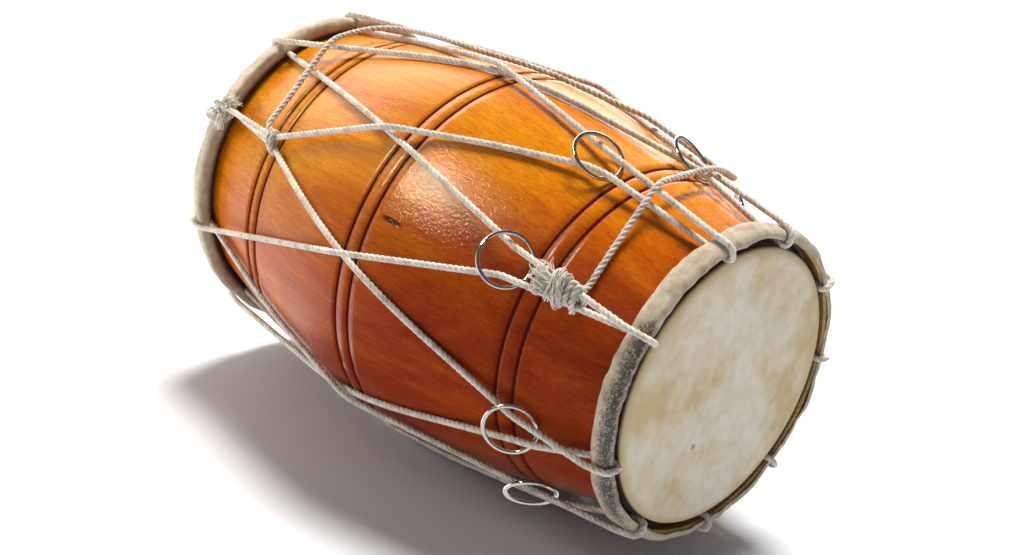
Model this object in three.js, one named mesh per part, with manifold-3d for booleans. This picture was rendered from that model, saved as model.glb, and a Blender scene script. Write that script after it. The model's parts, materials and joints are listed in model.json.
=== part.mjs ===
// Dholak: a turned barrel drum, two skins lapped on cane hoops, one rope lacing and nine tuning rings
import * as THREE from "three";
import { mergeVertices } from "three/addons/utils/BufferGeometryUtils.js";
import { ConvexHull } from "three/addons/math/ConvexHull.js";
import Module from "manifold-3d";

const wasm = await Module();
wasm.setup();

// Clearances, in millimetres
const seat = 0.3; // gap left where one piece bears on another
const cordSeat = 0.45; // gap between a rope and the true round of what it lies on
const crossingGap = 0.6; // gap between two stretches of rope that cross
const holeClearance = 0.6; // between a rope and the hole that it passes through
const weldTolerance = 1e-4;

// Shell, with stations measured from the plane of its treble end
const shellLength = 424;
const bellyRadius = 140.8;
const bellyDistance = 235; // from the treble end
const wall = 9;
const endWall = 7.5;
const edgeRound = 1.5;
const grooveWidth = 2.6;
const grooveDepth = 1.3;
const groovePairSpacing = 12.6;
const groovePairShares = [0.1946, 0.5113, 0.8028]; // of the shell's length
const outlineShares = [0.045, 0.11, 0.265, 0.345, 0.425, 0.59, 0.665, 0.735, 0.885, 0.948];
const hollowShares = [0.15, 0.3, 0.45, 0.554, 0.68, 0.83];
const facets = 40;

// Ends of the shell, and how fast its radius grows from each
const trebleEndRadius = 94.5;
const trebleEndSlope = 0.2;
const bassEndRadius = 114;
const bassEndSlope = 0.18;

// Skins and the cane hoops inside their laps
const skinThick = 1;
const caneWidth = 12;
const caneThick = 4.4;
const caneCorner = 1.4;
const lapCorner = 1.6;
const collarBend = 1.9;

// Tuning paste inside the bass skin
const pasteRadius = 62;
const pasteThick = 3.2;
const pasteShoulder = 9;

// Cotton rope
const cordRadius = 2.3;
const cordFacets = 6;
const legStep = 13; // spacing of the points on which the taut legs are worked out
const sagLimit = 0.11; // a route point that moves the rope less than this is left out
const crossingReach = 6; // half the length on which a leg lies level where it crosses another
const settlingRounds = 1500;
const halvings = 40;
const flatShare = 0.1; // depth of the worn rest flats, as a share of the rope's diameter

// Lacing: where its nine loops bend over each hoop, in degrees from the top towards the front
const trebleLoops = [5.3, 47.3, 94.9, 132.8, 174.9, 213.1, 258.3, 292.3, 333];
const bassLoops = [18, 47.7, 90.6, 127, 158, 201, 252, 299, 346.7];
const knotSlot = 1; // bass loop at which the two ends of the rope are knotted
const restAngle = 167; // side of the drum that lies on the ground

// Tuning rings: place of each along the shell, and how each sits on its two legs
const ringMeanRadius = 17.2;
const ringWireRadius = 1.4;
const ringFacets = 18;
const ringZone = 106; // distance from the treble end of the ring that is furthest along
const ringShares = [1, 0.9624, 0.6604, 0.7736, 0.7924, 0.868, 0.9056, 0.83, 0.8208];
const ringLean = 22; // degrees from the legs up to the ring's bass edge
const ringRoll = 6; // degrees down towards the leg that goes over the hoop
const ringRise = 2; // height of a ring's middle over the middle of its legs
const ringPinch = 9.6; // half the spread of the two legs inside a ring
const ringLift = 9.2; // height of the legs over the shell at a ring's treble side
const ringTrackLength = 45;
const ringTrackDropShare = 0.06; // how much steeper a ring travels than its legs run

// Tail of the rope from the bass hitch round to the treble side: share of the shell's length, degrees
const tailRouteShares = [
  [0.816, 46], [0.825, 37], [0.837, 28], [0.858, 14], [0.863, 4], [0.854, -4], [0.821, -9.5],
  [0.755, -11], [0.679, -12.5], [0.566, -17], [0.448, -25], [0.342, -35], [0.255, -43], [0.198, -46.5],
  [0.175, -42], [0.165, -32], [0.158, -14], [0.149, 1], [0.142, 12], [0.134, 30], [0.13, 41],
];
const tailStep = 7;

// Hitch that ties the tail to the two legs next to the knot
const hitchDistance = 85; // from the bass end
const hitchAngle = 50;
const hitchRadius = 7.2;
const hitchLength = 9;

// Knot on the bass hoop and the frayed tuft on it
const knotRadius = 6.6;
const knotLength = 9.5;
const tuftRadius = 5.2;
const tuftLength = 8;

// Frayed knot at the treble end of the tail
const tasselDistance = 58; // from the treble end
const tasselAngle = 47.5;
const tasselRadius = 7.4;
const tasselLength = 12;
const frayRadius = 7;
const frayLength = 9.5;
const knotFacets = 9;
const knotBands = 6;

// Looks
const looks = {
  wood: { color: "#b9661b", roughness: 0.25, metalness: 0 },
  skin: { color: "#e3d6bd", roughness: 0.7, metalness: 0 },
  cane: { color: "#c9a468", roughness: 0.8, metalness: 0 },
  paste: { color: "#2b2522", roughness: 0.9, metalness: 0 },
  rope: { color: "#ddd6ca", roughness: 0.95, metalness: 0 },
  steel: { color: "#c8cacc", roughness: 0.2, metalness: 1 },
};

// Heights over the shell's side, from the skin out to the rope that goes over the hoop
const facetSag = bassEndRadius * (1 - Math.cos(Math.PI / facets)); // by which a flat falls short of the round
const sideOuter = seat + skinThick;
const cordUnder = sideOuter + seat + cordRadius;
const caneInner = cordUnder + cordRadius + facetSag + seat;
const caneOuter = caneInner + caneThick;
const lapInner = caneOuter + seat;
const lapOuter = lapInner + skinThick;
const cordOver = lapOuter + seat + cordRadius;

// Depths from the shell's end towards its middle
const lapFront = -skinThick - 2 * seat;
const caneFront = lapFront + skinThick + seat;
const caneBack = caneFront + caneWidth;
const lapBack = caneBack + seat + skinThick;
const cordFront = lapFront - seat - cordRadius;

// Other sizes that follow from the ones above
const cordDiameter = 2 * cordRadius;
const bearing = cordRadius + cordSeat;
const stacked = cordDiameter + crossingGap;
const hitchStation = shellLength - hitchDistance;
const ringReach = ringMeanRadius * Math.cos(THREE.MathUtils.degToRad(ringLean));
const loops = trebleLoops.length;
const legCount = 2 * loops;
const treble = { station: 0, inward: 1, endRadius: trebleEndRadius, slope: trebleEndSlope, loopAngles: trebleLoops };
const bass = { station: shellLength, inward: -1, endRadius: bassEndRadius, slope: bassEndSlope, loopAngles: bassLoops };
const alongDrum = new THREE.Vector3(1, 0, 0);

// Outer radius of the shell at a station, level at the belly and sloped as stated at each end
function shellRadius(station) {
  const head = station < bellyDistance ? treble : bass;
  const span = Math.abs(head.station - bellyDistance);
  const along = Math.min(1, Math.abs(station - bellyDistance) / span);
  const endShare = along * along * (3 - 2 * along);
  const slopeShare = along * along * (1 - along);
  return bellyRadius * (1 - endShare) + head.endRadius * endShare + head.slope * span * slopeShare;
}

// Point of the drum frame at a station, an angle from the top and a radius
function around(station, degrees, radius) {
  const angle = THREE.MathUtils.degToRad(degrees);
  return new THREE.Vector3(-station, -radius * Math.sin(angle), radius * Math.cos(angle));
}

// Station and radius of a place on a head: its depth from the shell's end and height off the side
function onHead(head, depth, height) {
  const station = head.station + head.inward * depth;
  return [station, shellRadius(station) + head.slope * Math.min(0, depth) + height];
}

// Turn from one angle to another, in radians, the short way round
function turnBetween(from, to) {
  return Math.atan2(Math.sin(to - from), Math.cos(to - from));
}

// Merged, outward-facing copy of a geometry, ready to be a solid
function welded(geometry) {
  const plain = new THREE.BufferGeometry();
  plain.setAttribute("position", geometry.getAttribute("position"));
  if (geometry.index) plain.setIndex(geometry.index);
  const merged = mergeVertices(plain, weldTolerance);
  const position = merged.getAttribute("position");
  const corners = [];
  for (let i = 0; i < merged.index.count; i += 3) {
    const [a, b, c] = [0, 1, 2].map((k) => merged.index.getX(i + k));
    if (a !== b && b !== c && c !== a) corners.push(a, b, c);
  }
  let volume = 0;
  const at = (i) => new THREE.Vector3().fromBufferAttribute(position, i);
  for (let i = 0; i < corners.length; i += 3) {
    volume += at(corners[i]).dot(at(corners[i + 1]).cross(at(corners[i + 2])));
  }
  if (volume < 0) corners.reverse();
  merged.setIndex(corners);
  return merged;
}

function solidOf(geometry) {
  const merged = welded(geometry);
  const vertProperties = new Float32Array(merged.getAttribute("position").array);
  const triVerts = new Uint32Array(merged.index.array);
  return new wasm.Manifold(new wasm.Mesh({ numProp: 3, vertProperties, triVerts }));
}

function geometryOf(solid) {
  const mesh = solid.getMesh();
  const geometry = new THREE.BufferGeometry();
  geometry.setAttribute("position", new THREE.BufferAttribute(mesh.vertProperties, 3));
  geometry.setIndex(new THREE.BufferAttribute(mesh.triVerts, 1));
  return geometry;
}

// Largest body of a solid, which drops the slivers that a cut leaves
function mainBody(solid) {
  const bodies = solid.decompose();
  bodies.sort((a, b) => b.volume() - a.volume());
  return bodies[0];
}

// Body of revolution about the drum's axis from a profile of [station, radius] points
function turned(profile) {
  const points = profile.map(([station, radius]) => new THREE.Vector2(radius, -station));
  const geometry = new THREE.LatheGeometry(points, facets);
  geometry.rotateZ(-Math.PI / 2);
  return welded(geometry);
}

// Tube of even thickness along a polyline, mitred at each point, with flat ends
function tube(points, radius, sides) {
  const count = points.length;
  const steps = points.slice(1).map((point, i) => point.clone().sub(points[i]).normalize());
  const side = new THREE.Vector3(0, 0, 1).cross(steps[0]);
  if (side.lengthSq() === 0) side.set(0, 1, 0);
  side.normalize();
  const positions = [];
  for (let i = 0; i < count; i += 1) {
    const before = steps[Math.max(0, i - 1)];
    const after = steps[Math.min(count - 2, i)];
    const tangent = before.clone().add(after).normalize();
    side.projectOnPlane(tangent).normalize();
    const lift = tangent.clone().cross(side);
    const bend = before.clone().sub(after).normalize();
    const stretch = 1 / tangent.dot(after) - 1;
    for (let k = 0; k < sides; k += 1) {
      const angle = (2 * Math.PI * (k + 1 / 2)) / sides;
      const offset = side.clone().multiplyScalar(Math.cos(angle));
      offset.addScaledVector(lift, Math.sin(angle)).multiplyScalar(radius);
      offset.addScaledVector(bend, stretch * offset.dot(bend));
      positions.push(...points[i].clone().add(offset).toArray());
    }
  }
  const index = [];
  for (let i = 0; i < count - 1; i += 1) {
    for (let k = 0; k < sides; k += 1) {
      const a = i * sides + k;
      const b = i * sides + ((k + 1) % sides);
      index.push(a, b, b + sides, a, b + sides, a + sides);
    }
  }
  const last = (count - 1) * sides;
  for (let k = 1; k < sides - 1; k += 1) {
    index.push(0, k + 1, k, last, last + k, last + k + 1);
  }
  const geometry = new THREE.BufferGeometry();
  geometry.setAttribute("position", new THREE.Float32BufferAttribute(positions, 3));
  geometry.setIndex(index);
  return welded(geometry);
}

// Leaves out the points of a route that lie on the line between their neighbours
function thinned(points) {
  const kept = [points[0]];
  let start = 0;
  for (let end = 2; end < points.length; end += 1) {
    const line = new THREE.Line3(points[start], points[end]);
    const sags = points.slice(start + 1, end).map((point) => {
      return line.closestPointToPoint(point, true, new THREE.Vector3()).distanceTo(point);
    });
    if (Math.max(...sags) > sagLimit) {
      kept.push(points[end - 1]);
      start = end - 1;
    }
  }
  kept.push(points[points.length - 1]);
  return kept;
}

// Outside of the shell from end to end, with its three pairs of turned grooves
function shellOutline() {
  const outline = outlineShares.map((share) => [share * shellLength, shellRadius(share * shellLength)]);
  for (const share of groovePairShares) {
    for (const side of [-1, 1]) {
      const station = share * shellLength + (side * groovePairSpacing) / 2;
      const [front, back] = [station - grooveWidth / 2, station + grooveWidth / 2];
      outline.push([front, shellRadius(front)]);
      outline.push([station, shellRadius(station) - grooveDepth]);
      outline.push([back, shellRadius(back)]);
    }
  }
  outline.push([edgeRound, shellRadius(edgeRound)]);
  outline.push([shellLength - edgeRound, shellRadius(shellLength - edgeRound)]);
  return outline.sort((a, b) => a[0] - b[0]);
}

// Barrel, turned outside and hollowed inside, open at both ends
function shell() {
  const hollow = hollowShares.map((share) => [share * shellLength, shellRadius(share * shellLength) - wall]);
  const profile = [
    [0, treble.endRadius - endWall],
    [0, treble.endRadius - edgeRound],
    ...shellOutline(),
    [shellLength, bass.endRadius - edgeRound],
    [shellLength, bass.endRadius - endWall],
    ...hollow.reverse(),
  ];
  profile.push(profile[0]);
  return turned(profile);
}

// One sheet of skin: membrane, side, collar behind the hoop, and the lap over and in front of it
function skinProfile(head) {
  const rim = head.endRadius - edgeRound;
  const membrane = (depth, radius) => [head.station + head.inward * depth, radius];
  const place = (depth, height) => onHead(head, depth, height);
  return [
    membrane(-seat - skinThick, 0),
    membrane(-seat - skinThick, rim),
    place(-seat, skinThick),
    place(skinThick, sideOuter),
    place(caneBack - collarBend, sideOuter),
    place(caneBack + seat, sideOuter + collarBend),
    place(caneBack + seat, lapInner - caneCorner),
    place(caneBack + seat - caneCorner, lapInner),
    place(caneFront - seat + caneCorner, lapInner),
    place(caneFront - seat, lapInner - caneCorner),
    place(caneFront - seat, caneInner),
    place(lapFront, caneInner),
    place(lapFront, lapOuter - lapCorner),
    place(lapFront + lapCorner, lapOuter),
    place(lapBack - lapCorner, lapOuter),
    place(lapBack, lapOuter - lapCorner),
    place(lapBack, seat + collarBend),
    place(caneBack - skinThick, seat),
    place(edgeRound - seat, seat),
    membrane(-seat, rim + seat / 2),
    membrane(-seat, 0),
  ];
}

// Hole in the collar, where the rope leaves from under the hoop
function piercing(head, degrees) {
  const [inside, outside] = loopRoute(head, degrees).slice(-2);
  const onward = outside.clone().sub(inside).setLength(cordDiameter);
  const ends = [inside.clone().add(onward), outside.clone().add(onward)];
  return solidOf(tube(ends, cordRadius + holeClearance, knotFacets));
}

function skin(head) {
  let solid = solidOf(turned(skinProfile(head)));
  for (const degrees of head.loopAngles) solid = solid.subtract(piercing(head, degrees));
  return geometryOf(solid);
}

// Cane hoop: flat inside, where the rope passes, and rounded towards its lap
function hoop(head) {
  const profile = [
    onHead(head, caneFront, caneInner + caneCorner),
    onHead(head, caneFront, caneOuter - caneCorner),
    onHead(head, caneFront + caneCorner, caneOuter),
    onHead(head, caneBack - caneCorner, caneOuter),
    onHead(head, caneBack, caneOuter - caneCorner),
    onHead(head, caneBack, caneInner),
    onHead(head, caneFront + caneCorner, caneInner),
  ];
  profile.push(profile[0]);
  return turned(profile);
}

// Tuning paste: a low domed patch inside the bass skin, facing into the drum
function paste() {
  return turned([
    [shellLength, 0],
    [shellLength, pasteRadius],
    [shellLength - pasteThick / 2, pasteRadius - pasteShoulder],
    [shellLength - pasteThick, 0],
  ]);
}

// Route of one loop round a lapped hoop, from its outer leg over the front and out underneath
function loopRoute(head, degrees) {
  const shape = [
    [lapBack - seat, cordOver],
    [lapFront, cordOver],
    [cordFront + cordRadius / 3, lapOuter + (2 * cordRadius) / 3],
    [cordFront, lapOuter - lapCorner / 2],
    [cordFront, caneInner - cordRadius / 3],
    [cordFront + cordRadius / 2, caneInner - cordRadius],
    [lapFront + seat, cordUnder - seat / 2],
    [cordRadius / 2, cordUnder],
    [lapBack + seat, cordUnder],
  ];
  return shape.map(([depth, height]) => {
    const [station, radius] = onHead(head, depth, height);
    return around(station, degrees, radius);
  });
}

// Stations on which a leg is worked out: even steps, and the places where something bears on it
function legStations(from, to, extra) {
  const count = Math.ceil(Math.abs(to - from) / legStep);
  const even = Array.from({ length: count + 1 }, (_, i) => from + ((to - from) * i) / count);
  const clear = even.filter((station, i) => {
    const isEnd = i === 0 || i === count;
    return isEnd || extra.every((place) => Math.abs(place - station) > legStep / 4);
  });
  return [...clear, ...extra].sort((a, b) => Math.sign(to - from) * (a - b));
}

// Taut leg: each point moves onto the line of its neighbours, then out to what it bears on
function tautLeg(start, end, extra, hold) {
  const points = legStations(-start.x, -end.x, extra).map((station) => {
    return start.clone().lerp(end, (station + start.x) / (start.x - end.x));
  });
  for (let round = 0; round < settlingRounds; round += 1) {
    for (let i = 1; i < points.length - 1; i += 1) {
      const share = (points[i].x - points[i - 1].x) / (points[i + 1].x - points[i - 1].x);
      points[i].lerpVectors(points[i - 1], points[i + 1], share);
      hold(points[i]);
    }
  }
  return points;
}

// Pushes a point out to a clear height over the shell
function holdOff(point, lift) {
  const clear = shellRadius(-point.x) + lift;
  const scale = Math.max(1, clear / Math.hypot(point.y, point.z));
  point.y *= scale;
  point.z *= scale;
}

// Draws a leg in towards the line at an angle, as a ring or a hitch holds two legs together
function drawIn(point, degrees, halfSpread) {
  const across = around(0, degrees + 90, 1);
  const spread = point.dot(across);
  const excess = Math.max(0, Math.abs(spread) - halfSpread);
  point.addScaledVector(across, -Math.sign(spread) * excess);
}

// Leg from one hoop to the other, lifted at its ring and where it crosses over another leg
function layLeg(start, end, bassSlot, trebleSlot, crossing) {
  const ringStation = ringShares[trebleSlot] * ringZone;
  const liftStation = ringStation - ringReach;
  const over = crossing === undefined ? [] : [crossing - crossingReach, crossing, crossing + crossingReach];
  const hitched = bassSlot === knotSlot ? [hitchStation] : [];
  const isNear = (place, station) => Math.abs(place - station) < seat;
  return tautLeg(start, end, [ringStation, liftStation, ...hitched, ...over], (point) => {
    const station = -point.x;
    const isCrossing = over.some((place) => isNear(place, station));
    const lift = isCrossing ? bearing + stacked : bearing;
    holdOff(point, isNear(liftStation, station) ? Math.max(lift, ringLift) : lift);
    if (isNear(ringStation, station)) drawIn(point, trebleLoops[trebleSlot], ringPinch);
    if (hitched.some((place) => isNear(place, station))) drawIn(point, hitchAngle, bearing);
  });
}

// Point of a leg's middle line at a station, and its angle from the top towards the front
function pointAt(leg, station) {
  const i = leg.findIndex((point, k) => k > 0 && (point.x + station) * (leg[k - 1].x + station) <= 0);
  const share = (station + leg[i - 1].x) / (leg[i - 1].x - leg[i].x);
  return leg[i - 1].clone().lerp(leg[i], share);
}

function angleAt(leg, station) {
  const point = pointAt(leg, station);
  return Math.atan2(-point.y, point.z);
}

// Station where two legs cross, found by halving
function crossingOf(one, other) {
  let low = shellLength / 4;
  let high = shellLength - low;
  const apart = (station) => turnBetween(angleAt(one, station), angleAt(other, station));
  const sign = Math.sign(apart(low));
  for (let round = 0; round < halvings; round += 1) {
    const middle = (low + high) / 2;
    if (Math.sign(apart(middle)) === sign) low = middle;
    else high = middle;
  }
  return low;
}

// The lacing starts at the bass knot and steps one loop on, to the other head, with each leg
const turns = Array.from({ length: legCount + 1 }, (_, i) => {
  const slot = (knotSlot + i) % loops;
  const head = i % 2 === 0 ? bass : treble;
  return { slot, head, route: loopRoute(head, head.loopAngles[slot]) };
});

function layAllLegs(crossings) {
  return Array.from({ length: legCount }, (_, i) => {
    const [from, to] = [turns[i], turns[i + 1]];
    const [atBass, atTreble] = from.head === bass ? [from, to] : [to, from];
    const [start, end] = [from.route[from.route.length - 1], to.route[0]];
    return layLeg(start, end, atBass.slot, atTreble.slot, crossings[i]);
  });
}

// The second half of the legs crosses over the first half
const flatLegs = layAllLegs([]);
const crossings = Array.from({ length: legCount }, (_, i) => {
  return i < loops ? undefined : crossingOf(flatLegs[i - loops], flatLegs[i]);
});
const legs = layAllLegs(crossings);

// One unbroken route: the front of the knotted loop, every leg and loop, and back to the knot
function laceRoute() {
  const points = turns[0].route.slice(1);
  for (let i = 0; i < legCount; i += 1) {
    points.push(...thinned(legs[i]).slice(1));
    if (i < legCount - 1) points.push(...turns[i + 1].route.slice(1));
  }
  return points;
}

// Shortest distance between two straight stretches
function stretchGap(a, b, c, d) {
  const [ab, cd, ca] = [b.clone().sub(a), d.clone().sub(c), a.clone().sub(c)];
  const [abLong, cdLong, both] = [ab.lengthSq(), cd.lengthSq(), ab.dot(cd)];
  const clamp = (value) => THREE.MathUtils.clamp(value, 0, 1);
  const spread = abLong * cdLong - both * both;
  const first = spread > 0 ? clamp((both * cd.dot(ca) - cdLong * ab.dot(ca)) / spread) : 0;
  const second = clamp((both * first + cd.dot(ca)) / cdLong);
  const closest = clamp((both * second - ab.dot(ca)) / abLong);
  return a.clone().addScaledVector(ab, closest).distanceTo(c.clone().addScaledVector(cd, second));
}

// Least gap between two ropes, or between stretches of one rope that are more than four diameters apart
function leastGap(points, others) {
  const along = [0];
  for (let i = 1; i < points.length; i += 1) along.push(along[i - 1] + points[i].distanceTo(points[i - 1]));
  let least = Infinity;
  for (let i = 1; i < points.length; i += 1) {
    for (let j = 1; j < others.length; j += 1) {
      if (points === others && (j <= i || along[j - 1] - along[i] < 4 * cordDiameter)) continue;
      least = Math.min(least, stretchGap(points[i - 1], points[i], others[j - 1], others[j]));
    }
  }
  return least - cordDiameter;
}

// Radius at which the tail clears the shell, and every leg that it passes over, at a station and angle
function clearRadius(station, angle) {
  let radius = shellRadius(station) + bearing;
  for (const leg of legs) {
    if ((station + leg[0].x) * (station + leg[leg.length - 1].x) > 0) continue;
    const point = pointAt(leg, station);
    const height = Math.hypot(point.y, point.z);
    const aside = height * Math.abs(turnBetween(angle, angleAt(leg, station)));
    if (aside < cordDiameter + tailStep / 2) radius = Math.max(radius, height + stacked);
  }
  return radius;
}

// Tail: its stations and angles joined by a smooth line, then drawn tight over what it crosses
function tailPath() {
  const arc = THREE.MathUtils.degToRad(bellyRadius);
  const spine = new THREE.CatmullRomCurve3(
    tailRouteShares.map(([share, degrees]) => new THREE.Vector3(share * shellLength, degrees * arc, 0)),
    false,
    "centripetal",
  );
  const places = spine.getSpacedPoints(Math.round(spine.getLength() / tailStep));
  const floors = places.map(({ x, y }) => clearRadius(x, THREE.MathUtils.degToRad(y / arc)));
  const points = places.map(({ x, y }, i) => around(x, y / arc, floors[i]));
  for (let round = 0; round < settlingRounds; round += 1) {
    for (let i = 1; i < points.length - 1; i += 1) {
      const middle = points[i - 1].clone().add(points[i + 1]).divideScalar(2);
      const taut = Math.max(floors[i], Math.hypot(middle.y, middle.z));
      const scale = taut / Math.hypot(points[i].y, points[i].z);
      points[i].y *= scale;
      points[i].z *= scale;
    }
  }
  return thinned(points);
}

const lacing = laceRoute();
const tail = tailPath();
console.log("least gap of the lacing to itself, mm:", leastGap(lacing, lacing).toFixed(2));
console.log("least gap of the tail to itself, mm:", leastGap(tail, tail).toFixed(2));
console.log("least gap of the tail to the lacing, mm:", leastGap(tail, lacing).toFixed(2));

// Egg-shaped lump with its long axis along a direction, as a knot or a frayed end has
function lump(centre, direction, length, radius) {
  const geometry = new THREE.SphereGeometry(1, knotFacets, knotBands);
  geometry.scale(radius, length, radius);
  const turn = new THREE.Quaternion().setFromUnitVectors(new THREE.Vector3(0, 1, 0), direction);
  geometry.applyQuaternion(turn);
  geometry.translate(...centre.toArray());
  return solidOf(geometry);
}

// The shell, or a hoop's lap, grown by the seat gap, to cut what lies on it
function shellBed() {
  const outline = shellOutline().map(([station, radius]) => [station, radius + seat]);
  const [first, last] = [outline[0][0], outline[outline.length - 1][0]];
  return solidOf(turned([[first, 0], ...outline, [last, 0]]));
}

function lapBed(head) {
  const [front, back] = [onHead(head, lapFront - seat, lapOuter + seat), onHead(head, lapBack + seat, lapOuter + seat)];
  return solidOf(turned([[front[0], 0], front, back, [back[0], 0]]));
}

// Stretches of the ropes near a place, grown by the gap that ropes keep, to cut a knot with
function ropesNear(centre, reach) {
  const radius = (cordRadius + cordSeat) / Math.cos(Math.PI / knotFacets);
  const solids = [];
  for (const path of [lacing, tail]) {
    for (let i = 1; i < path.length; i += 1) {
      const line = new THREE.Line3(path[i - 1], path[i]);
      const gap = line.closestPointToPoint(centre, true, new THREE.Vector3()).distanceTo(centre);
      if (gap > reach) continue;
      const onward = path[i].clone().sub(path[i - 1]).setLength(cordRadius);
      const ends = [path[i - 1].clone().sub(onward), path[i].clone().add(onward)];
      solids.push(solidOf(tube(ends, radius, knotFacets)));
    }
  }
  return solids;
}

// A knot: its lumps joined, then cut clear of what it lies on and of the ropes within reach
function knot(lumps, bed, centre, reach) {
  let body = lumps.reduce((whole, next) => whole.add(next)).subtract(bed);
  for (const rope of ropesNear(centre, reach)) body = body.subtract(rope);
  return geometryOf(mainBody(body));
}

function bassHitch() {
  const centre = around(hitchStation, hitchAngle, shellRadius(hitchStation) + bearing + seat);
  const across = around(0, hitchAngle + 90, 1);
  return knot([lump(centre, across, hitchLength, hitchRadius)], shellBed(), centre, hitchLength + hitchRadius);
}

// Place over the middle of the bass lap, at the knotted loop
function overKnottedLoop(height) {
  const [station, radius] = onHead(bass, (lapFront + lapBack) / 2, height);
  return around(station, bassLoops[knotSlot], radius);
}

function bassKnot() {
  const centre = overKnottedLoop(cordOver + seat);
  return knot([lump(centre, alongDrum, knotLength, knotRadius)], lapBed(bass), centre, knotLength + knotRadius);
}

function bassTuft() {
  const centre = overKnottedLoop(cordOver + knotRadius);
  const outward = around(0, bassLoops[knotSlot], 1);
  const bed = lump(overKnottedLoop(cordOver + seat), alongDrum, knotLength + seat, knotRadius + seat);
  return knot([lump(centre, outward, tuftLength, tuftRadius)], bed, centre, tuftLength);
}

function trebleTassel() {
  const overLegs = (station) => around(station, tasselAngle, shellRadius(station) + ringLift + cordRadius);
  const centre = overLegs(tasselDistance);
  const fray = overLegs(tasselDistance + tasselRadius + frayLength / 2);
  const across = around(0, tasselAngle + 90, 1);
  const lumps = [lump(centre, across, tasselLength, tasselRadius), lump(fray, alongDrum, frayLength, frayRadius)];
  return knot(lumps, shellBed(), centre, 2 * tasselLength + frayLength);
}

// Place of a ring, whose treble edge is under its two legs and whose bass edge is over them
function ringPlace(slot) {
  const entry = turns.findIndex((turn) => turn.head === treble && turn.slot === slot);
  const [outer, inner] = [legs[entry - 1], legs[entry]];
  const middle = (station) => pointAt(outer, station).lerp(pointAt(inner, station), 1 / 2);
  const station = ringShares[slot] * ringZone;
  const outward = around(0, trebleLoops[slot], 1);
  const track = middle(station - ringTrackLength).sub(middle(station)).normalize();
  track.addScaledVector(outward, -ringTrackDropShare).normalize();
  const centre = middle(station).addScaledVector(outward, ringRise);
  const face = outward.clone().projectOnPlane(track).normalize();
  const across = track.clone().cross(face);
  const toOuter = Math.sign(across.dot(pointAt(outer, station).sub(pointAt(inner, station))));
  return { centre, track, toOuter, basis: new THREE.Matrix4().makeBasis(across, track, face) };
}

// Edges of a facet of a convex hull, as pairs of points
function facetEdges(facet) {
  const edges = [];
  let edge = facet.edge;
  do {
    edges.push([edge.tail().point, edge.head().point]);
    edge = edge.next;
  } while (edge !== facet.edge);
  return edges;
}

// Middle of the shell's weight: its wall is even, so each station weighs as its radius does
function weightCentre() {
  const stations = shellOutline().map(([station]) => station);
  let [moment, weight] = [0, 0];
  for (let i = 1; i < stations.length; i += 1) {
    const middle = (stations[i - 1] + stations[i]) / 2;
    const share = shellRadius(middle) * (stations[i] - stations[i - 1]);
    moment += middle * share;
    weight += share;
  }
  return around(moment / weight, 0, 0);
}

// The drum rests on the facet of the ropes' hull that lies under its weight, nearest the rest angle
function restFacet() {
  const hull = new ConvexHull().setFromPoints([...lacing, ...tail]);
  const weight = weightCentre();
  const wanted = around(0, restAngle, 1);
  const under = hull.faces.filter((facet) => {
    return facetEdges(facet).every(([from, to]) => {
      return to.clone().sub(from).cross(weight.clone().sub(from)).dot(facet.normal) > 0;
    });
  });
  under.sort((a, b) => b.normal.dot(wanted) - a.normal.dot(wanted));
  return under[0];
}

const ground = restFacet();
const up = ground.normal.clone().negate();
const ahead = alongDrum.clone().projectOnPlane(up).normalize();
const restBasis = new THREE.Matrix4().makeBasis(ahead, up.clone().cross(ahead), up);

// Lacing rope, worn flat where the drum lies on it
function lacingRope() {
  const block = new THREE.BoxGeometry(2 * shellLength, 2 * shellLength, shellLength);
  block.applyMatrix4(restBasis);
  const drop = cordRadius - flatShare * cordDiameter + shellLength / 2;
  block.translate(...ground.midpoint.clone().addScaledVector(up, -drop).toArray());
  return geometryOf(mainBody(solidOf(tube(lacing, cordRadius, cordFacets)).subtract(solidOf(block))));
}

const drum = new THREE.Group();
function add(name, geometry, look) {
  const mesh = new THREE.Mesh(geometry, new THREE.MeshStandardMaterial(looks[look]));
  mesh.name = name;
  drum.add(mesh);
  return mesh;
}

add("shell", shell(), "wood");
add("treble_skin", skin(treble), "skin");
add("bass_skin", skin(bass), "skin");
add("treble_hoop", hoop(treble), "cane");
add("bass_hoop", hoop(bass), "cane");
add("tuning_paste", paste(), "paste");
add("lacing_rope", lacingRope(), "rope");
add("tail_rope", tube(tail, cordRadius, cordFacets), "rope");
add("bass_hitch", bassHitch(), "rope");
add("bass_knot", bassKnot(), "rope");
add("bass_tuft", bassTuft(), "rope");
add("treble_tassel", trebleTassel(), "rope");
for (let slot = 0; slot < loops; slot += 1) {
  const { centre, toOuter, basis } = ringPlace(slot);
  const geometry = new THREE.TorusGeometry(ringMeanRadius, ringWireRadius, cordFacets, ringFacets);
  const ring = add(`tuning_ring_${slot + 1}`, welded(geometry), "steel");
  ring.position.copy(centre);
  ring.setRotationFromMatrix(basis);
  ring.rotateY(toOuter * THREE.MathUtils.degToRad(ringRoll));
  ring.rotateX(-THREE.MathUtils.degToRad(ringLean));
}

// The drum as it lies: its axis along +X, the ground at zero and its middle over the origin
drum.setRotationFromMatrix(restBasis.clone().transpose());
const dholak = new THREE.Group();
dholak.add(drum);
dholak.updateMatrixWorld(true);
const bounds = new THREE.Box3().setFromObject(drum, true);
const middle = bounds.getCenter(new THREE.Vector3());
drum.position.set(-middle.x, -middle.y, -bounds.min.z);

export default dholak;
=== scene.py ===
import json
import math
import random

import bmesh
import bpy
import numpy as np
from mathutils import Matrix, Quaternion, Vector, noise


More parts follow.
